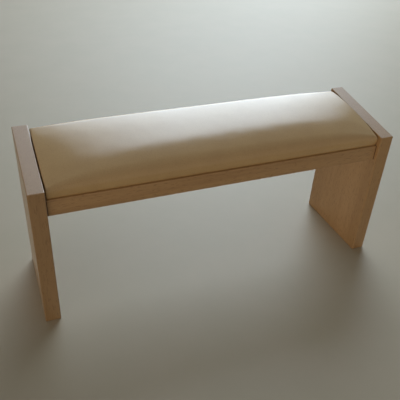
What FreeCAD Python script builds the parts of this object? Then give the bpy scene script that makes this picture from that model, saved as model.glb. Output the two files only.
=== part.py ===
"""Low prayer bench: two slab end panels, two rails and a slanted upholstered pad between the panels."""

import FreeCAD, Part
import math
import os

Vector = FreeCAD.Vector

# Overall bench, in millimetres. The front is towards -Y, and the seat rises towards the back.
bench_length = 500.0
bench_depth = 135.0
front_height = 200.0
back_height = 220.0
panel_thickness = 20.0
panel_arris = 1.2

# Rails between the panels: plumb sides, tops bevelled to the seat's slant.
rail_thickness = 20.0
rail_height = 22.0
rail_front_inset = 5.5
rail_back_inset = 1.5
rail_arris = 1.5
seat_drop = 15.8

# Cleats on the panels, between the rails.
cleat_width = 18.0
cleat_height = 15.0
cleat_end_gap = 1.0

# Upholstered pad, measured square to the slanted seat.
pad_end_gap = 0.7
pad_setback = 0.5
pad_mid_height = 27.0
pad_end_height = 18.5
pad_mid_crown = 5.5
pad_end_crown = 4.4
pad_end_fullness = 5
pad_mid_shoulder = 10.0
pad_end_shoulder = 4.5
pad_end_round = 2.5
pad_side_draw = 1.5
cover_thickness = 1.0
cover_hem = 28.0
board_thickness = 6.0
board_edge_gap = 0.2
foam_gap = 0.3

# Glued dowels in the rail ends.
dowel_diameter = 6.0
dowel_spacing = 11.0
dowel_in_panel = 12.0
dowel_in_rail = 20.0
dowel_chamfer = 0.8
dowel_glue_gap = 0.1
dowel_end_room = 1.0

# Countersunk screws.
screw_diameter = 3.5
screw_head_diameter = 7.0
screw_point = 3.0
screw_hole_gap = 0.05
screw_recess_width = 1.0
screw_recess_span = 3.6
screw_recess_depth = 1.3
cleat_screw_bite = 12.0
cleat_screw_spacing = 62.0
seat_screw_bite = 4.0
seat_screw_spacing = 26.0

# Staples that hold the hem under the board.
staple_crown = 10.0
staple_wire_width = 1.0
staple_wire_thickness = 0.6
staple_bite = 4.0
staple_from_hem_edge = 5.0
staple_pitch = 42.0

# Values worked out from the sizes above.
inner_half = bench_length / 2 - panel_thickness
slant = math.atan2(back_height - front_height, bench_depth)
rail_front_y = -bench_depth / 2 + rail_front_inset
rail_back_y = bench_depth / 2 - rail_back_inset
front_rail_inside_y = rail_front_y + rail_thickness
back_rail_inside_y = rail_back_y - rail_thickness
pad_half_length = inner_half - pad_end_gap
pad_front = pad_setback
pad_back = (rail_back_y - rail_front_y) / math.cos(slant) - pad_setback
pad_middle = (pad_front + pad_back) / 2
pad_half_depth = (pad_back - pad_front) / 2


def seat_z(y):
    """Height of the slanted plane that the pad rests on."""
    return front_height - seat_drop + (y + bench_depth / 2) * math.tan(slant)


seat_placement = FreeCAD.Placement(
    Vector(0, rail_front_y, seat_z(rail_front_y)),
    FreeCAD.Rotation(Vector(1, 0, 0), math.degrees(slant)),
)


def on_seat(shape):
    """Moves a shape from the seat's own frame (depth along Y, up off the seat along Z) to its place."""
    return shape.transformed(seat_placement.toMatrix())


def box(x0, x1, y0, y1, z0, z1):
    """Block between two corners."""
    return Part.makeBox(x1 - x0, y1 - y0, z1 - z0, Vector(x0, y0, z0))


def prism_along_x(outline, x0, x1):
    """Prism with the given (y, z) outline, from x0 to x1."""
    points = [Vector(x0, y, z) for y, z in outline]
    return Part.Face(Part.makePolygon(points + points[:1])).extrude(Vector(x1 - x0, 0, 0))


def end_panel(side):
    """Slab with a slanted top and rounded arrises; side is -1 on the left and 1 on the right."""
    half = bench_depth / 2
    outline = [(-half, 0), (half, 0), (half, back_height), (-half, front_height)]
    slab = prism_along_x(outline, side * inner_half, side * bench_length / 2)
    return slab.makeFillet(panel_arris, slab.Edges)


def rail(y0, y1, outer_y):
    """Plumb rail from y0 to y1 with a bevelled top, and with the edges of its foot and outer side eased."""
    foot = seat_z(y0) - rail_height
    outline = [(y0, foot), (y1, foot), (y1, seat_z(y1)), (y0, seat_z(y0))]
    bar = prism_along_x(outline, -inner_half, inner_half)

    def eased(edge):
        """True for the long edges that a hand can reach."""
        ends = [v.Point for v in edge.Vertexes]
        lengthwise = ends[0].x * ends[1].x < 0
        at_foot = ends[0].z < foot + rail_height / 2
        outer = abs(ends[0].y - outer_y) < rail_thickness / 2
        return lengthwise and (at_foot or outer)

    return bar.makeFillet(rail_arris, [e for e in bar.Edges if eased(e)])


def cleat(side):
    """Strip along a panel's inner face, with plumb ends and its top on the seat's plane."""
    y0 = front_rail_inside_y + cleat_end_gap
    y1 = back_rail_inside_y - cleat_end_gap
    fall = cleat_height / math.cos(slant)
    outline = [(y0, seat_z(y0) - fall), (y1, seat_z(y1) - fall), (y1, seat_z(y1)), (y0, seat_z(y0))]
    return prism_along_x(outline, side * (inner_half - cleat_width), side * inner_half)


def at_end(x, middle, end):
    """A size of the pad at a place along its length: full over most of it and falling off near the ends."""
    return middle - (middle - end) * (abs(x) / pad_half_length) ** pad_end_fullness


def pad_section(x, inset):
    """Closed outline of the pad at x, set in by inset: foot, drawn-in sides, round shoulders and a crown."""
    top = at_end(x, pad_mid_height, pad_end_height)
    rise = at_end(x, pad_mid_crown, pad_end_crown)
    shoulder = at_end(x, pad_mid_shoulder, pad_end_shoulder)
    crown_radius = (pad_half_depth**2 + rise**2) / (2 * rise)
    crown_centre = top - crown_radius
    shoulder_centre_y = pad_half_depth - shoulder
    shoulder_reach = crown_radius - shoulder
    shoulder_centre_z = crown_centre + math.sqrt(shoulder_reach**2 - shoulder_centre_y**2)
    side_radius = (pad_side_draw**2 + shoulder_centre_z**2) / (2 * pad_side_draw)
    side_centre_y = pad_half_depth - side_radius
    tilt = math.atan2(shoulder_centre_y, shoulder_centre_z - crown_centre)

    def side_point(sign, z):
        """Point of a drawn-in side at height z."""
        reach = math.sqrt((side_radius - inset) ** 2 - (z - shoulder_centre_z) ** 2)
        return Vector(x, pad_middle + sign * (side_centre_y + reach), z)

    def shoulder_point(sign, angle):
        """Point of a round shoulder, at an angle from upright."""
        radius = shoulder - inset
        y = shoulder_centre_y + radius * math.sin(angle)
        return Vector(x, pad_middle + sign * y, shoulder_centre_z + radius * math.cos(angle))

    foot = inset
    quarter = math.pi / 2
    edges = [Part.LineSegment(side_point(-1, foot), side_point(1, foot))]
    for sign in (1, -1):
        low = side_point(sign, foot)
        waist = side_point(sign, (foot + shoulder_centre_z) / 2)
        side_top = shoulder_point(sign, quarter)
        turn = shoulder_point(sign, (quarter + tilt) / 2)
        crown_edge = shoulder_point(sign, tilt)
        arcs = [Part.Arc(low, waist, side_top), Part.Arc(side_top, turn, crown_edge)]
        edges += arcs if sign > 0 else [Part.Arc(crown_edge, turn, side_top), Part.Arc(side_top, waist, low)]
        if sign > 0:
            summit = Vector(x, pad_middle, top - inset)
            edges.append(Part.Arc(crown_edge, summit, shoulder_point(-1, tilt)))
    return Part.Wire([e.toShape() for e in edges])


def pad_form(inset):
    """The crowned pad as one closed form, set in by inset all round, in the seat's frame."""
    reach = pad_half_length - inset
    turns = [math.radians(degrees) for degrees in range(-90, 91, 15)]
    form = Part.makeLoft([pad_section(reach * math.sin(t), inset) for t in turns], True, False)

    def rounded(edge):
        """True for the edges of the two ends, but not of the flat foot."""
        ends = [v.Point for v in edge.Vertexes]
        at_one_end = ends[0].x * ends[-1].x > 0
        return at_one_end and max(p.z for p in ends) > pad_end_round

    return form.makeFillet(pad_end_round - inset, [e for e in form.Edges if rounded(e)])


def seat_board():
    """Plywood base of the pad, with its corners rounded inside the cover's."""
    half_x = pad_half_length - cover_thickness - board_edge_gap
    half_y = pad_half_depth - cover_thickness - board_edge_gap - pad_side_draw
    board = box(
        -half_x, half_x, pad_middle - half_y, pad_middle + half_y,
        cover_thickness, cover_thickness + board_thickness,
    )
    corners = [e for e in board.Edges if e.Vertexes[0].Z != e.Vertexes[1].Z]
    return board.makeFillet(pad_end_round, corners)


def seat_foam():
    """Crowned foam on the board, just clear of the cover."""
    form = pad_form(cover_thickness + foam_gap)
    limits = form.BoundBox
    bed = cover_thickness + board_thickness
    return form.common(box(limits.XMin, limits.XMax, limits.YMin, limits.YMax, bed, limits.ZMax))


def seat_cover():
    """Leatherette pulled over foam and board, with a hem turned in under the board."""
    skin = pad_form(0).cut(pad_form(cover_thickness))
    half_x = pad_half_length - cover_hem
    half_y = pad_half_depth - cover_hem
    mouth = box(
        -half_x, half_x, pad_middle - half_y, pad_middle + half_y,
        -cover_thickness, 2 * cover_thickness,
    )
    return skin.cut(mouth)


def staple(x, y, across):
    """Staple under the hem with its legs up in the board; across turns its crown along Y."""
    leg_top = cover_thickness + staple_bite
    half = staple_crown / 2
    wide = staple_wire_width / 2
    crown = box(-half, half, -wide, wide, -staple_wire_thickness, 0)
    legs = [
        box(a, a + staple_wire_thickness, -wide, wide, -staple_wire_thickness, leg_top)
        for a in (-half, half - staple_wire_thickness)
    ]
    body = crown.multiFuse(legs).removeSplitter()
    body.rotate(Vector(0, 0, 0), Vector(0, 0, 1), 90 if across else 0)
    body.translate(Vector(x, y, 0))
    return body.Solids[0]


def evenly(span, pitch):
    """Places from -span/2 to span/2, about a pitch apart."""
    count = max(1, round(span / pitch))
    return [-span / 2 + i * span / count for i in range(count + 1)]


def staples():
    """Staples in a row along each side of the hem."""
    row_x = pad_half_length - cover_hem + staple_from_hem_edge
    row_y = pad_half_depth - cover_hem + staple_from_hem_edge
    made = []
    for sign in (-1, 1):
        for x in evenly(2 * (row_x - staple_pitch / 2), staple_pitch):
            made.append(staple(x, pad_middle + sign * row_y, False))
        for y in evenly(2 * (row_y - staple_pitch / 2), staple_pitch):
            made.append(staple(sign * row_x, pad_middle + y, True))
    return made


def dowel(end_x, side, y, z, gap, room):
    """Dowel along X through the joint at end_x; gap and room widen and deepen it for its hole."""
    radius = dowel_diameter / 2 + gap
    length = dowel_in_panel + dowel_in_rail + 2 * room
    start = Vector(end_x + side * (dowel_in_panel + room), y, z)
    pin = Part.makeCylinder(radius, length, start, Vector(-side, 0, 0))
    if gap:
        return pin
    return pin.makeChamfer(dowel_chamfer, [e for e in pin.Edges if len(e.Vertexes) == 1])


def rail_dowels(y0, y1, gap=0.0, room=0.0):
    """The dowels in both ends of the rail from y0 to y1."""
    y = (y0 + y1) / 2
    middle = seat_z(y0) - rail_height / 2
    return [
        dowel(side * inner_half, side, y, middle + up * dowel_spacing / 2, gap, room)
        for side in (-1, 1)
        for up in (-1, 1)
    ]


def screw(length, gap=0.0):
    """Countersunk screw along +Z with its head's face at 0; gap widens it for its hole."""
    shank = screw_diameter / 2 + gap
    head = screw_head_diameter / 2 + gap
    cone = head - shank
    outline = [(0, 0), (head, 0), (shank, cone), (shank, length - screw_point), (0, length)]
    points = [Vector(r, 0, z) for r, z in outline]
    body = Part.Face(Part.makePolygon(points + points[:1])).revolve(Vector(0, 0, 0), Vector(0, 0, 1), 360)
    if gap:
        return body
    half = screw_recess_span / 2
    slit = screw_recess_width / 2
    recess = box(-half, half, -slit, slit, 0, screw_recess_depth)
    recess = recess.fuse(box(-slit, slit, -half, half, 0, screw_recess_depth))
    return body.cut(recess).Solids[0]


def cleat_middle_y():
    """Middle of a cleat, between the rails."""
    return (front_rail_inside_y + back_rail_inside_y) / 2


def cleat_screws(side, gap=0.0):
    """Screws through a cleat into its panel."""
    made = []
    for along in (-1, 1):
        y = cleat_middle_y() + along * cleat_screw_spacing / 2
        z = seat_z(y) - cleat_height / math.cos(slant) / 2
        body = screw(cleat_width + cleat_screw_bite, gap)
        body.rotate(Vector(0, 0, 0), Vector(0, 1, 0), side * 90)
        body.translate(Vector(side * (inner_half - cleat_width), y, z))
        made.append(body)
    return made


def seat_screws(side, gap=0.0):
    """Screws up through a cleat into the seat board, square to the seat."""
    middle = (cleat_middle_y() - rail_front_y) / math.cos(slant)
    made = []
    for along in (-1, 1):
        body = screw(cleat_height + cover_thickness + seat_screw_bite, gap)
        x = side * (inner_half - cleat_width / 2)
        body.translate(Vector(x, middle + along * seat_screw_spacing / 2, -cleat_height))
        made.append(on_seat(body))
    return made


def build():
    """All the pieces by node name."""
    front = (rail_front_y, front_rail_inside_y)
    back = (back_rail_inside_y, rail_back_y)
    dowel_holes = [d for ys in (front, back) for d in rail_dowels(*ys, dowel_glue_gap, dowel_end_room)]
    cleat_screw_holes = [s for side in (-1, 1) for s in cleat_screws(side, screw_hole_gap)]
    seat_screw_holes = [s for side in (-1, 1) for s in seat_screws(side, screw_hole_gap)]
    placed_staples = [on_seat(s) for s in staples()]
    return {
        "left_end_panel": end_panel(-1).cut(dowel_holes + cleat_screw_holes),
        "right_end_panel": end_panel(1).cut(dowel_holes + cleat_screw_holes),
        "front_rail": rail(*front, rail_front_y).cut(dowel_holes),
        "back_rail": rail(*back, rail_back_y).cut(dowel_holes),
        "left_cleat": cleat(-1).cut(cleat_screw_holes + seat_screw_holes),
        "right_cleat": cleat(1).cut(cleat_screw_holes + seat_screw_holes),
        "front_rail_dowels": Part.makeCompound(rail_dowels(*front)),
        "back_rail_dowels": Part.makeCompound(rail_dowels(*back)),
        "cleat_screws": Part.makeCompound(cleat_screws(-1) + cleat_screws(1)),
        "seat_board": on_seat(seat_board()).cut(seat_screw_holes + placed_staples),
        "seat_foam": on_seat(seat_foam()),
        "seat_cover": on_seat(seat_cover()).cut(seat_screw_holes + placed_staples),
        "cover_staples": Part.makeCompound(placed_staples),
        "seat_screws": Part.makeCompound(seat_screws(-1) + seat_screws(1)),
    }


def main():
    """Writes one file for each piece and says what it holds."""
    os.makedirs("parts", exist_ok=True)
    for name, shape in build().items():
        shape.exportStep("parts/" + name + ".step")
        size = shape.BoundBox
        print(name, len(shape.Solids), "solids, valid", shape.isValid(), "volume", round(shape.Volume))
        limits = (size.XMin, size.XMax, size.YMin, size.YMax, size.ZMin, size.ZMax)
        print("   ", [round(v, 2) for v in limits])


main()
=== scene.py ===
"""Looks of a low prayer bench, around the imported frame: beech wood and a leatherette pad. Metres."""

import math

import bpy
from mathutils import Matrix, Vector, noise


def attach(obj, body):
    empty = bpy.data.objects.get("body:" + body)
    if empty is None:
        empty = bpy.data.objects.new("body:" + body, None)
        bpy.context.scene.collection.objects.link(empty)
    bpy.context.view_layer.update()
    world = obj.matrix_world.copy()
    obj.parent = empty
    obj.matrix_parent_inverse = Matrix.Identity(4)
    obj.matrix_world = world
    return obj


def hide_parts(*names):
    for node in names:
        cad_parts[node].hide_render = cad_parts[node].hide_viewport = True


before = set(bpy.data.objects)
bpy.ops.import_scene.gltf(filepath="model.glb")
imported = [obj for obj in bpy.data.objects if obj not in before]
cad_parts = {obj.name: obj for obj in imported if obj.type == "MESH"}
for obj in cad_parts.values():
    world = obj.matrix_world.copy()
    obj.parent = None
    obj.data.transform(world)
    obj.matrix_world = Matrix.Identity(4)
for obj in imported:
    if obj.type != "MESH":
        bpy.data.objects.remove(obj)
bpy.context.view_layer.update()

# Pad, measured square to the slanted seat. Its outer size is read from the frame.
cover_thickness = 0.001
cover_hem = 0.028
foam_gap = 0.0003
foam_foot = 0.007
pad_end_height = 0.0185
pad_crown = 0.0055
pad_end_crown = 0.0044
pad_end_fullness = 5
mid_shoulder = 0.010
end_shoulder = 0.0045
front_mid_shoulder = 0.017
front_end_shoulder = 0.0060
end_round = 0.0025
fold_round = 0.0010
side_draw = 0.0015
end_draw = 0.0003

# Grid of the cover, with one ring for each step round its shoulder, down its side and round its fold.
# The foam follows the shoulder's rings and the upper two of the side's.
mesh_step = 0.005
beside_border = (0.0012, 0.003)
corner_fan = 0.006
probe = 0.0001
shoulder_steps = (0.2, 0.4, 0.6, 0.8, 1.0)
side_steps = (0.67, 0.33, 0.0)
fold_degrees = (45, 90)
hem_rows = 4
foam_rings = 7

# Simulation of the cover: it starts a little smaller than the pad and is blown out to size.
slack_top = 0.0014
slack_side = 0.0003
end_clearance = 0.0003
last_frame = 20
easing = 12
cloth_quality = 8
cloth_mass = 0.3
cloth_stretch = 25
cloth_shear = 10
cloth_bend = 2
cloth_pressure = 4

# Unevenness of the cover: lumps of two sizes all over, and slanting pulls at its ends.
lump_height = 0.00007
lump_scale = 62
lump_shift = Vector((3.1, 7.7, 1.9))
fine_lump_share = 0.6
fine_lump_scale = 140
pull_height = 0.00010
pull_reach = 0.055
pull_slant = 0.45
pull_pitch = 330
pull_patches = 30
pull_row = 5

# Axes that the grain runs along, how far it is drawn out, and the line of painted shade where rails meet
# panels.
lengthwise, crosswise, upright = 0, 1, 2
streak_stretch = 0.05
fleck_stretch = 0.22
shade_line_width = 0.0016
shade_line_fade = 0.4

# Colours, in everyday values of 0 to 255.
beech_dark_band = (172, 136, 91)
beech_pale_band = (185, 148, 103)
beech_figure = (156, 117, 75)
beech_streak = (149, 110, 68)
beech_fleck = (126, 88, 52)
# End grain as light as the face grain, lifted from darker: the lift is painted light for the panels' lit
# tops.
beech_end = (181, 146, 107)
beech_end_pore = (147, 111, 76)
beech_end_band = (165, 130, 92)
# Painted shade: dark brown of the line where the rails' ends meet the panels.
shade_line_brown = (62, 38, 20)
cream = (198, 165, 115)
pale_cream = (203, 170, 119)
# Painted shade in the valleys of the leatherette's pebbled grain.
cream_valley_shade = (179, 142, 94)
veneer = (186, 155, 116)
pale_veneer = (206, 178, 140)
veneer_pore = (143, 110, 75)
# Painted shade in the hollows of the foam's cells.
foam_hollow_shade = (206, 190, 140)
foam_wall = (232, 220, 176)
screw_zinc = (186, 183, 172)
staple_zinc = (176, 177, 178)
floor_grey = (191, 183, 162)
floor_pale = (195, 186, 166)

# Light. The window is a stack of ever smaller lamps, so it is brightest in its middle. Its light is in
# watts per square metre of each lamp. An edge is given for the largest lamp, with the step to the next.
window_lamps = 6
window_light = 2.48
window_place = (3.25, -0.05)
window_left = (-0.32, 0.28)
window_right = (4.05, -0.355)
window_low = (0.24, 0.065)
window_high = (5.00, -0.13)
window_lean = math.radians(12)
window_tint = (0.78, 0.90, 1.0)
world_tint = (1.0, 0.88, 0.70, 1.0)
world_light = 0.085
backdrop_tint = (1.0, 0.93, 0.79, 1.0)
backdrop_light = 0.40
floor_half = 3.0

# Camera at the photograph's viewpoint.
camera_place = Vector((-0.2702, -0.5954, 0.5460))
camera_azimuth = math.radians(23.51)
camera_pitch = math.radians(34.42)
camera_roll = math.radians(3.47)
camera_lens = 48.95
camera_near = 0.01


# Material nodes


def colour(values):
    """Linear colour from everyday values of 0 to 255, by the sRGB curve."""
    def linear(value):
        value /= 255
        return value / 12.92 if value <= 0.04045 else ((value + 0.055) / 1.055) ** 2.4

    return toned(values, linear)


def toned(values, change):
    """Colour with its first three values changed and full cover."""
    return tuple(change(value) for value in values[:3]) + (1.0,)


def add(tree, kind, inputs=None, **settings):
    """Adds a shader node, sets its options and fills its inputs with values or other nodes' outputs."""
    made = tree.nodes.new("ShaderNode" + kind)
    for key, value in settings.items():
        setattr(made, key, value)
    for key, value in (inputs or {}).items():
        if isinstance(value, bpy.types.NodeSocket):
            tree.links.new(value, made.inputs[key])
        else:
            made.inputs[key].default_value = value
    return made


def new_material(name):
    """A material with its node tree and its shader."""
    material = bpy.data.materials.new(name)
    material.use_nodes = True
    tree = material.node_tree
    return material, tree, tree.nodes["Principled BSDF"]


def place_on(tree, stretch=(1, 1, 1), shift=(0, 0, 0)):
    """The piece's own coordinates, moved by shift and then stretched."""
    coordinates = add(tree, "TexCoord").outputs["Object"]
    moved = add(tree, "VectorMath", {0: coordinates, 1: shift}, operation="ADD").outputs["Vector"]
    return add(tree, "VectorMath", {0: moved, 1: stretch}, operation="MULTIPLY").outputs["Vector"]


def drawn_out(axis, share):
    """Stretch for place_on that draws a pattern out along an axis."""
    stretch = [1.0, 1.0, 1.0]
    stretch[axis] = share
    return stretch


def noise_at(tree, vector, scale, detail=2.0, rough=0.5, distortion=0.0):
    """Noise from 0 to 1, scale in features per metre."""
    inputs = {
        "Vector": vector,
        "Scale": scale,
        "Detail": detail,
        "Roughness": rough,
        "Distortion": distortion,
    }
    return add(tree, "TexNoise", inputs).outputs["Fac"]


def spread(tree, value, low, high, to_low=0.0, to_high=1.0):
    """Takes the range from low to high smoothly to another range."""
    inputs = {"Value": value, "From Min": low, "From Max": high, "To Min": to_low, "To Max": to_high}
    return add(tree, "MapRange", inputs, interpolation_type="SMOOTHSTEP").outputs["Result"]


def mixed(tree, factor, first, second):
    """Mix of two colours."""
    return add(tree, "MixRGB", {"Fac": factor, "Color1": first, "Color2": second}).outputs["Color"]


def sum_of(tree, first, second, share=1.0):
    """First plus a share of second."""
    return add(tree, "Math", {0: second, 1: share, 2: first}, operation="MULTIPLY_ADD").outputs["Value"]


def size_along(tree, vector, axis):
    """Size of a vector along an axis, without its sign."""
    part = add(tree, "SeparateXYZ", {"Vector": vector}).outputs[axis]
    return add(tree, "Math", {0: part}, operation="ABSOLUTE").outputs["Value"]


def join(tree, output, shader, name):
    """Links an output to one of the shader's inputs."""
    tree.links.new(output, shader.inputs[name])


def bumped(tree, height, strength, distance):
    """Normal from a height, with the height's full range as a distance in metres."""
    inputs = {"Height": height, "Strength": strength, "Distance": distance}
    return add(tree, "Bump", inputs).outputs["Normal"]


# Materials


def beech(name, grain, shift, painted_light_tone=1.0, coat=0.60, shade_line_at=None):
    """Pale beech with its grain along an axis: broad bands, fine streaks, short flecks and end grain.

    Shift picks a place in the pattern. The tone lightens or darkens the whole piece as painted light and
    shade, so that some pieces of the one wood show lit and others shaded. A piece that reaches to the given
    place on both sides of the middle gets a dark line of painted shade there, where its ends meet the
    panels.
    """
    # Painted light and shade: every colour of the piece is scaled by its tone.
    def wood(values):
        return toned(colour(values), lambda value: painted_light_tone * value)

    material, tree, shader = new_material(name)
    streaky = place_on(tree, drawn_out(grain, streak_stretch), shift)
    flecky = place_on(tree, drawn_out(grain, fleck_stretch), shift)
    band = noise_at(tree, streaky, scale=24, detail=2.0, rough=0.45, distortion=0.3)
    figure = noise_at(tree, streaky, scale=120, detail=3.0, rough=0.55, distortion=0.6)
    streak = noise_at(tree, streaky, scale=900, detail=2.0, rough=0.6)
    fleck = noise_at(tree, flecky, scale=620, detail=1.0, rough=0.4)
    pore = noise_at(tree, place_on(tree, shift=shift), scale=1500, detail=1.0)

    band_share = spread(tree, band, low=0.3, high=0.7)
    figure_share = spread(tree, figure, low=0.42, high=0.72, to_high=0.35)
    streak_share = spread(tree, streak, low=0.45, high=0.75, to_high=0.30)
    fleck_share = spread(tree, fleck, low=0.60, high=0.70, to_high=0.38)
    body = mixed(tree, band_share, wood(beech_dark_band), wood(beech_pale_band))
    body = mixed(tree, figure_share, body, wood(beech_figure))
    body = mixed(tree, streak_share, body, wood(beech_streak))
    body = mixed(tree, fleck_share, body, wood(beech_fleck))
    # Painted shade: a dark line at both ends of the piece, where it meets the panels.
    if shade_line_at:
        off_middle = size_along(tree, place_on(tree), grain)
        shade_line_share = spread(tree, off_middle, low=shade_line_at - shade_line_width, high=shade_line_at - shade_line_fade * shade_line_width)
        body = mixed(tree, shade_line_share, body, colour(shade_line_brown))

    pore_share = spread(tree, pore, low=0.40, high=0.72)
    end_band_share = spread(tree, band, low=0.35, high=0.7, to_high=0.35)
    end_body = mixed(tree, pore_share, colour(beech_end), colour(beech_end_pore))
    end_body = mixed(tree, end_band_share, end_body, colour(beech_end_band))
    facing = size_along(tree, add(tree, "NewGeometry").outputs["Normal"], grain)
    on_end = spread(tree, facing, low=0.70, high=0.92)
    join(tree, mixed(tree, on_end, body, end_body), shader, "Base Color")
    join(tree, spread(tree, streak, low=0.2, high=0.8, to_low=0.40, to_high=0.52), shader, "Roughness")
    relief = sum_of(tree, streak, fleck, share=0.8)
    join(tree, bumped(tree, relief, strength=0.35, distance=0.00012), shader, "Normal")
    shader.inputs["Coat Weight"].default_value = coat
    shader.inputs["Coat Roughness"].default_value = 0.36
    return material


def leatherette():
    """Cream leatherette with a fine pebbled grain, painted shade in the grain's valleys, faint mottling and
    a soft gloss.
    """
    material, tree, shader = new_material("cream_leatherette")
    where = place_on(tree)
    mottle = noise_at(tree, where, scale=34, detail=3.0, rough=0.55)
    cells = {"Vector": where, "Scale": 900.0, "Smoothness": 0.6}
    pebble = add(tree, "TexVoronoi", cells, feature="SMOOTH_F1").outputs["Distance"]
    crease = noise_at(tree, where, scale=420, detail=3.0, rough=0.6, distortion=0.8)
    mottle_share = spread(tree, mottle, low=0.3, high=0.7)
    # Painted shade: darker between the pebbles, in the grain's valleys.
    valley_shade_share = spread(tree, pebble, low=0.45, high=0.80, to_high=0.30)
    body = mixed(tree, mottle_share, colour(cream), colour(pale_cream))
    body = mixed(tree, valley_shade_share, body, colour(cream_valley_shade))
    join(tree, body, shader, "Base Color")
    join(tree, spread(tree, crease, low=0.25, high=0.75, to_low=0.14, to_high=0.21), shader, "Roughness")
    relief = sum_of(tree, crease, pebble, share=-0.9)
    join(tree, bumped(tree, relief, strength=0.12, distance=0.00012), shader, "Normal")
    shader.inputs["Specular IOR Level"].default_value = 0.80
    return material


def plywood():
    """Raw plywood: a wavy veneer figure along the bench, with darker pores."""
    material, tree, shader = new_material("raw_plywood")
    where = place_on(tree, drawn_out(lengthwise, share=0.10))
    figure = noise_at(tree, where, scale=60, detail=4.0, rough=0.6, distortion=1.6)
    pore = noise_at(tree, where, scale=1100, detail=1.0)
    figure_share = spread(tree, figure, low=0.3, high=0.7)
    pore_share = spread(tree, pore, low=0.58, high=0.75, to_high=0.45)
    body = mixed(tree, figure_share, colour(veneer), colour(pale_veneer))
    body = mixed(tree, pore_share, body, colour(veneer_pore))
    join(tree, body, shader, "Base Color")
    join(tree, spread(tree, pore, low=0.2, high=0.8, to_low=0.62, to_high=0.80), shader, "Roughness")
    join(tree, bumped(tree, pore, strength=0.4, distance=0.00015), shader, "Normal")
    return material


def foam_rubber():
    """Open-cell foam, with painted shade in the hollows of its cells."""
    material, tree, shader = new_material("seat_foam")
    cells = {"Vector": place_on(tree), "Scale": 700.0}
    pore = add(tree, "TexVoronoi", cells).outputs["Distance"]
    # Painted shade: darker in the cells' hollows, paler on their walls.
    body = mixed(tree, spread(tree, pore, low=0.1, high=0.7), colour(foam_hollow_shade), colour(foam_wall))
    join(tree, body, shader, "Base Color")
    join(tree, bumped(tree, pore, strength=0.6, distance=0.0004), shader, "Normal")
    join(tree, spread(tree, pore, low=0.0, high=0.8, to_low=0.95, to_high=0.80), shader, "Roughness")
    return material


def plated_steel(name, bright, shade=0.72):
    """Zinc-plated steel: a cloudy, slightly brushed finish, down to a shade of its bright colour."""
    material, tree, shader = new_material(name)
    cloud = noise_at(tree, place_on(tree), scale=700, detail=3.0, rough=0.6)
    brushed = place_on(tree, drawn_out(lengthwise, share=0.2))
    brush = noise_at(tree, brushed, scale=2600, detail=1.0)
    dull = toned(colour(bright), lambda value: shade * value)
    body = mixed(tree, spread(tree, cloud, low=0.3, high=0.7), dull, colour(bright))
    join(tree, body, shader, "Base Color")
    join(tree, spread(tree, brush, low=0.2, high=0.8, to_low=0.28, to_high=0.46), shader, "Roughness")
    join(tree, bumped(tree, brush, strength=0.2, distance=0.00005), shader, "Normal")
    shader.inputs["Metallic"].default_value = 1.0
    return material


def pale_floor():
    """Plain pale floor with a hardly visible mottling."""
    material, tree, shader = new_material("pale_floor")
    cloud = noise_at(tree, place_on(tree), scale=9, detail=4.0, rough=0.55)
    body = mixed(tree, spread(tree, cloud, low=0.3, high=0.7), colour(floor_grey), colour(floor_pale))
    join(tree, body, shader, "Base Color")
    join(tree, spread(tree, cloud, low=0.3, high=0.7, to_low=0.48, to_high=0.50), shader, "Roughness")
    return material


def dress(node, material):
    """Gives a CAD node its material."""
    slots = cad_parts[node].data.materials
    slots.clear()
    slots.append(material)


def reach_of(node):
    """Reach of a CAD node to the right of the middle."""
    return max(v.co.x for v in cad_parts[node].data.vertices)


# The pad


def seat_axes():
    """Matrix of the seat's own frame: middle of the pad's foot, Y to the back and Z square off the seat."""
    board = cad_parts["seat_board"].data
    widest = max(board.polygons, key=lambda face: face.area)
    up = widest.normal if widest.normal.z > 0 else -widest.normal
    across = Vector((1, 0, 0))
    back = up.cross(across)
    skin = [v.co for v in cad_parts["seat_cover"].data.vertices]
    depths = [back.dot(p) for p in skin]
    foot = min(up.dot(p) for p in skin)
    origin = back * (min(depths) + max(depths)) / 2 + up * foot
    turn = Matrix((across, back, up)).transposed()
    return Matrix.Translation(origin) @ turn.to_4x4()


def pad_reach(seat):
    """Half length, half depth and height of the pad in the seat's frame."""
    inverse = seat.inverted()
    skin = [inverse @ v.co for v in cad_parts["seat_cover"].data.vertices]
    return max(p.x for p in skin), max(p.y for p in skin), max(p.z for p in skin)


def evenly(half, step, beside):
    """Places from -half to half, about a step apart, with more of them just beside both ends."""
    count = max(2, round(2 * half / step))
    places = [-half + 2 * half * i / count for i in range(count + 1)]
    for gap in beside:
        places += [gap - half, half - gap]
    return sorted(places)


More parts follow.
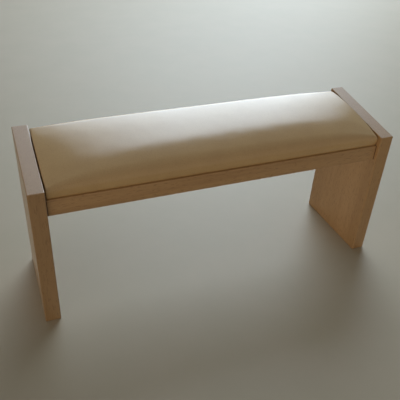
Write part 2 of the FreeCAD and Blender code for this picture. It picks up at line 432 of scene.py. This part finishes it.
class Pad:
    """Grid of the pad's cover: a crowned top, and rings down its sides and in along its hem."""

    def __init__(self, half_length, half_depth, height):
        self.half_length = half_length
        self.half_depth = half_depth
        self.height = height
        tilt = math.atan(pad_end_fullness * (height - pad_end_height) / half_length)
        self.end = half_length - end_round * (1 - math.sin(tilt))
        self.xs = evenly(self.end, mesh_step, beside_border)
        self.shares = evenly(1.0, mesh_step / half_depth, [gap / half_depth for gap in beside_border])
        self.border = self.walk_border()
        free_rings = len(shoulder_steps) + len(side_steps)
        self.hem_from = len(self.xs) * len(self.shares) + len(self.border) * free_rings

    def walk_border(self):
        """Grid places of the top's border, once round."""
        last_x = len(self.xs) - 1
        last_y = len(self.shares) - 1
        front = [(i, 0) for i in range(last_x)]
        right = [(last_x, j) for j in range(last_y)]
        back = [(i, last_y) for i in range(last_x, 0, -1)]
        left = [(0, j) for j in range(last_y, 0, -1)]
        return front + right + back + left

    def at_end(self, x, middle, end):
        """A size at a place along the pad: full over most of it and falling off near the ends."""
        return middle - (middle - end) * abs(x / self.half_length) ** pad_end_fullness

    def shoulder(self, x, y):
        """Radius between the crown and the long side on which y lies."""
        if y < 0:
            return self.at_end(x, front_mid_shoulder, front_end_shoulder)
        return self.at_end(x, mid_shoulder, end_shoulder)

    def rise(self, x):
        """Rise of the crown over its edges."""
        return self.at_end(x, pad_crown, pad_end_crown)

    def crown_edge(self, x, y):
        """Way from the middle at which the crown passes into the shoulder on the side of y."""
        flat = self.half_depth - self.shoulder(x, y)
        tilt = math.atan(2 * self.rise(x) * flat / self.half_depth**2)
        return flat + self.shoulder(x, y) * math.sin(tilt)

    def top(self, x, y):
        """Height of the crowned top."""
        return self.at_end(x, self.height, pad_end_height) - self.rise(x) * (y / self.half_depth) ** 2

    def place(self, i, j):
        """Plan place of a grid point of the top."""
        x, share = self.xs[i], self.shares[j]
        return x, share * self.crown_edge(x, share)

    def outward(self, x, y):
        """Steps in plan, away from the top's border, fanned out to a mitre at its corners."""
        to_end = self.end - abs(x)
        to_side = self.crown_edge(x, y) - abs(y)
        lean = max(0.0, 1 - max(to_end, to_side) / corner_fan)
        dx, dy = (1.0, lean) if to_end < to_side else (lean, 1.0)
        return math.copysign(dx, x), math.copysign(dy, y)

    def ring(self, i, j, profile):
        """Point of one ring beside a border place.

        Profile takes the round, the crown's tilt and its height there, and gives the way out, the draw, the
        fold and the height of the ring.
        """
        x, y = self.place(i, j)
        dx, dy = self.outward(x, y)
        length = math.hypot(dx, dy)
        round_here = (end_round * dx * dx + self.shoulder(x, y) * dy * dy) / length**2
        z = self.top(x, y)
        tilt = math.atan((z - self.top(x + dx * probe, y + dy * probe)) / (probe * length))
        share, drawn, folded, height = profile(round_here, tilt, z)
        out_x = share * (self.half_length - self.end) - drawn * end_draw - folded
        out_y = share * (self.half_depth - self.crown_edge(x, y)) - drawn * side_draw - folded
        return Vector((x + dx * out_x, y + dy * out_y, height))

    def profiles(self):
        """Profiles of the rings from the shoulder down to the fold at the foot."""
        def shoulder_ring(step):
            def profile(r, tilt, z):
                turn = tilt + (math.pi / 2 - tilt) * step
                share = (math.sin(turn) - math.sin(tilt)) / (1 - math.sin(tilt))
                return share, 0.0, 0.0, z - r * (math.cos(tilt) - math.cos(turn))

            return profile

        def side_ring(step):
            def profile(r, tilt, z):
                side_top = z - r * math.cos(tilt)
                return 1.0, (1 - step) ** 2, 0.0, fold_round + step * (side_top - fold_round)

            return profile

        def fold_ring(turn):
            def profile(r, tilt, z):
                return 1.0, 1.0, fold_round * (1 - math.cos(turn)), fold_round * (1 - math.sin(turn))

            return profile

        made = [shoulder_ring(step) for step in shoulder_steps]
        made += [side_ring(step) for step in side_steps]
        made += [fold_ring(math.radians(degrees)) for degrees in fold_degrees]
        return made

    def hem(self, i, j, inset):
        """Point of the hem, turned in under the pad by inset."""
        x = self.xs[i] * (self.half_length - inset) / self.end
        return Vector((x, self.shares[j] * (self.half_depth - inset), 0.0))

    def points_and_faces(self):
        """All points and quads, from the top down to the hem's edge."""
        columns = len(self.shares)
        points = []
        for i in range(len(self.xs)):
            for j in range(columns):
                x, y = self.place(i, j)
                points.append(Vector((x, y, self.top(x, y))))
        faces = []
        for i in range(len(self.xs) - 1):
            for j in range(columns - 1):
                corner = i * columns + j
                faces.append((corner, corner + columns, corner + columns + 1, corner + 1))
        above = [i * columns + j for i, j in self.border]
        hem_start = side_draw + 2 * fold_round
        hem_step = (cover_hem - hem_start) / hem_rows
        hem_insets = [hem_start + hem_step * (k + 1) for k in range(hem_rows)]
        rows = [[self.ring(i, j, profile) for i, j in self.border] for profile in self.profiles()]
        rows += [[self.hem(i, j, inset) for i, j in self.border] for inset in hem_insets]
        for row in rows:
            below = [len(points) + k for k in range(len(row))]
            points += row
            for k in range(len(row)):
                after = (k + 1) % len(row)
                faces.append((above[k], below[k], below[after], above[after]))
            above = below
        return points, faces


def mesh_object(name, points, faces):
    """A new smooth mesh object."""
    mesh = bpy.data.meshes.new(name)
    mesh.from_pydata([tuple(p) for p in points], [], faces)
    mesh.update()
    for face in mesh.polygons:
        face.use_smooth = True
    made = bpy.data.objects.new(name, mesh)
    bpy.context.scene.collection.objects.link(made)
    return made


def blow_up(piece, held):
    """Points as a cloth simulation under a light pressure moves them, with those from held on pinned."""
    pins = piece.vertex_groups.new(name="held")
    pins.add(list(range(held, len(piece.data.vertices))), 1.0, "ADD")
    cloth = piece.modifiers.new("cloth", "CLOTH")
    settings = cloth.settings
    settings.vertex_group_mass = "held"
    settings.quality = cloth_quality
    settings.mass = cloth_mass
    settings.tension_stiffness = cloth_stretch
    settings.compression_stiffness = cloth_stretch
    settings.shear_stiffness = cloth_shear
    settings.bending_stiffness = cloth_bend
    settings.use_pressure = True
    settings.uniform_pressure_force = cloth_pressure
    settings.effector_weights.gravity = 0
    cloth.point_cache.frame_start = 1
    cloth.point_cache.frame_end = last_frame
    scene = bpy.context.scene
    for step in range(1, last_frame + 1):
        scene.frame_set(step)
    shown = piece.evaluated_get(bpy.context.evaluated_depsgraph_get())
    moved = [v.co.copy() for v in shown.data.vertices]
    piece.modifiers.remove(cloth)
    piece.vertex_groups.remove(pins)
    scene.frame_set(1)
    return moved


def eased(piece, moves, held):
    """Moves of the free points, averaged a few times with their neighbours'."""
    beside = [[] for _ in moves]
    for edge in piece.data.edges:
        first, second = edge.vertices
        beside[first].append(second)
        beside[second].append(first)
    for _ in range(easing):
        means = [sum((moves[k] for k in beside[n]), Vector()) / len(beside[n]) for n in range(held)]
        moves = [(move + mean) / 2 for move, mean in zip(moves, means)] + moves[held:]
    return moves


def swell(piece, moved, held, limit_x):
    """Takes the simulated form, scaled so that its middle rises by the slack, and clear of the panels."""
    moves = [target - vertex.co for vertex, target in zip(piece.data.vertices, moved)]
    moves = eased(piece, moves, held)
    share = slack_top / max(move.z for move in moves)
    for vertex, move in zip(piece.data.vertices, moves):
        place = vertex.co + move * share
        place.x = max(-limit_x, min(limit_x, place.x))
        vertex.co = place


def unevenness_at(point, pad):
    """Faint lumps all over, and short pulls at the two ends."""
    lumps = lump_height * noise.noise(point * lump_scale + lump_shift)
    lumps += fine_lump_share * lump_height * noise.noise(point * fine_lump_scale)
    to_end = pad.half_length - abs(point.x)
    near_end = max(0.0, 1 - to_end / pull_reach)
    lean = point.y + pull_slant * math.copysign(to_end, point.x)
    patch = noise.noise(Vector((point.y * pull_patches, math.copysign(pull_row, point.x), 0.0)))
    return lumps + pull_height * math.sin(lean * pull_pitch) * patch * near_end**2


def seat_pad():
    """The cover and the foam inside it."""
    seat = seat_axes()
    pad = Pad(*pad_reach(seat))
    slim = Pad(pad.half_length - slack_side, pad.half_depth - slack_side, pad.height - slack_top)
    points, faces = slim.points_and_faces()
    cover = mesh_object("leatherette_cover", points, faces)
    moved = blow_up(cover, slim.hem_from)
    swell(cover, moved, slim.hem_from, pad.half_length + end_clearance)
    cover.data.update()
    normals = [v.normal.copy() for v in cover.data.vertices]
    for vertex, normal in zip(cover.data.vertices[: slim.hem_from], normals):
        vertex.co += normal * unevenness_at(vertex.co, pad)
    foam = foam_under(cover, slim)
    for piece in (cover, foam):
        piece.data.transform(seat)
        piece.data.update()
    skin = cover.modifiers.new("thickness", "SOLIDIFY")
    skin.thickness = cover_thickness
    skin.offset = -1
    for piece in (cover, foam):
        finer = piece.modifiers.new("finer", "SUBSURF")
        finer.levels = finer.render_levels = 1
    return cover, foam


def foam_under(cover, pad):
    """Foam that fills the cover down to the board."""
    cover.data.update()
    inset = cover_thickness + foam_gap
    columns = len(pad.shares)
    top_count = len(pad.xs) * columns
    around = len(pad.border)
    kept = top_count + foam_rings * around
    points = []
    for vertex in cover.data.vertices[:kept]:
        point = vertex.co - vertex.normal * inset
        point.z = max(point.z, foam_foot)
        points.append(point)
    faces = [tuple(f.vertices) for f in cover.data.polygons if max(f.vertices) < kept]
    base = len(points)
    points += [Vector((*pad.place(i, j), foam_foot)) for i in range(len(pad.xs)) for j in range(columns)]
    for i in range(len(pad.xs) - 1):
        for j in range(columns - 1):
            corner = base + i * columns + j
            faces.append((corner, corner + 1, corner + columns + 1, corner + columns))
    last_ring = [kept - around + k for k in range(around)]
    foot_ring = [base + i * columns + j for i, j in pad.border]
    for k in range(around):
        after = (k + 1) % around
        faces.append((last_ring[k], foot_ring[k], foot_ring[after], last_ring[after]))
    return mesh_object("foam_filling", points, faces)


# Stage


def soft_light(name, place, aim, width, height, power, tint, lean=0.0):
    """Rectangular soft lamp at a place, turned to its aim, and leaning to the right by an angle."""
    lamp = bpy.data.lights.new(name, "AREA")
    lamp.shape = "RECTANGLE"
    lamp.size = width
    lamp.size_y = height
    lamp.energy = power
    lamp.color = tint
    made = bpy.data.objects.new(name, lamp)
    made.location = place
    made.rotation_euler = (Vector(aim) - Vector(place)).to_track_quat("-Z", "Y").to_euler()
    made.rotation_euler.rotate_axis("Z", lean)
    bpy.context.scene.collection.objects.link(made)
    return made


def hang_window():
    """The window-like light behind the bench."""
    for k in range(window_lamps):
        edges = (window_left, window_right, window_low, window_high, window_place)
        left, right, low, high, y = (first + k * step for first, step in edges)
        place = ((left + right) / 2, y, (low + high) / 2)
        ahead = (place[0], 0.0, place[2])
        width, height = right - left, high - low
        power = window_light * width * height
        soft_light("window", place, ahead, width, height, power, window_tint, window_lean)


def hang_lamps():
    """A faint lamp overhead, without a reflection, and a low warm fill from the front left."""
    overhead = soft_light(
        "overhead",
        place=(0.0, 0.0, 2.4),
        aim=(0.0, 0.0, 0.1),
        width=3.0,
        height=3.0,
        power=3.5,
        tint=(1.0, 0.975, 0.86),
    )
    overhead.visible_glossy = False
    soft_light(
        "fill",
        place=(-4.68, -4.12, 0.89),
        aim=(0.0, 0.0, 0.12),
        width=8.0,
        height=1.6,
        power=110.0,
        tint=(1.0, 0.85, 0.72),
    )


def set_world():
    """A faint even light all round, which shows as a pale backdrop to the camera and in gloss."""
    world = bpy.data.worlds.new("even_warm")
    bpy.context.scene.world = world
    world.use_nodes = True
    tree = world.node_tree
    lighting = tree.nodes["Background"]
    lighting.inputs["Color"].default_value = world_tint
    lighting.inputs["Strength"].default_value = world_light
    backdrop = add(tree, "Background", {"Color": backdrop_tint, "Strength": backdrop_light})
    rays = add(tree, "LightPath").outputs
    direct = sum_of(tree, rays["Is Camera Ray"], rays["Is Glossy Ray"])
    direct = sum_of(tree, direct, rays["Is Transmission Ray"])
    shown = {0: direct, 1: lighting.outputs["Background"], 2: backdrop.outputs["Background"]}
    both = add(tree, "MixShader", shown).outputs["Shader"]
    tree.links.new(both, tree.nodes["World Output"].inputs["Surface"])


def lay_floor():
    """Wide pale floor under the bench."""
    half = floor_half
    corners = [(-half, -half, 0), (half, -half, 0), (half, half, 0), (-half, half, 0)]
    floor = mesh_object("floor", corners, [(0, 1, 2, 3)])
    floor.data.materials.append(pale_floor())


def set_camera():
    """Camera from its place, azimuth, pitch and roll."""
    level = Vector((math.cos(camera_azimuth), -math.sin(camera_azimuth), 0))
    ahead = Vector((
        math.sin(camera_azimuth) * math.cos(camera_pitch),
        math.cos(camera_azimuth) * math.cos(camera_pitch),
        -math.sin(camera_pitch),
    ))
    plumb = level.cross(ahead)
    right = level * math.cos(camera_roll) + plumb * math.sin(camera_roll)
    turn = Matrix((right, right.cross(ahead), -ahead)).transposed()
    lens = bpy.data.cameras.new("camera")
    lens.lens = camera_lens
    lens.clip_start = camera_near
    made = bpy.data.objects.new("camera", lens)
    made.matrix_world = Matrix.Translation(camera_place) @ turn.to_4x4()
    bpy.context.scene.collection.objects.link(made)
    bpy.context.scene.camera = made


def dress_nodes():
    """Gives all CAD nodes that show as they are their materials."""
    # The tones are painted light and shade: each piece is made lighter or darker as the light falls on it.
    left = beech("beech_left_panel", upright, shift=(0.31, 0.12, 0.0), painted_light_tone=0.87, coat=1.0)
    right = beech("beech_right_panel", upright, shift=(1.73, 0.55, 0.0), painted_light_tone=1.11, coat=0.45)
    dress("left_end_panel", left)
    dress("right_end_panel", right)
    # The rails get a dark line of painted shade at both ends, where they meet the panels.
    shade_line_at = reach_of("front_rail")
    front = beech("beech_front_rail", lengthwise, shift=(0.0, 2.31, 0.47), painted_light_tone=1.05, shade_line_at=shade_line_at)
    back = beech("beech_back_rail", lengthwise, shift=(0.0, 3.64, 1.18), painted_light_tone=1.05, shade_line_at=shade_line_at)
    dress("front_rail", front)
    dress("back_rail", back)
    strip = beech("beech_strips", crosswise, shift=(4.1, 0.0, 2.2))
    dress("left_cleat", strip)
    dress("right_cleat", strip)
    pegs = beech("beech_dowels", lengthwise, shift=(0.0, 5.2, 3.3))
    dress("front_rail_dowels", pegs)
    dress("back_rail_dowels", pegs)
    dress("seat_board", plywood())
    screw_steel = plated_steel("zinc_screws", screw_zinc)
    dress("cleat_screws", screw_steel)
    dress("seat_screws", screw_steel)
    dress("cover_staples", plated_steel("staple_wire", staple_zinc))


def main():
    """Dresses the CAD nodes, makes the pad and sets the stage."""
    dress_nodes()
    cover, foam = seat_pad()
    cover.data.materials.append(leatherette())
    foam.data.materials.append(foam_rubber())
    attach(cover, "root")
    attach(foam, "root")
    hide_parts("seat_cover")
    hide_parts("seat_foam")

    lay_floor()
    hang_window()
    hang_lamps()
    set_world()
    set_camera()
    bpy.context.scene.view_settings.view_transform = "Standard"


main()
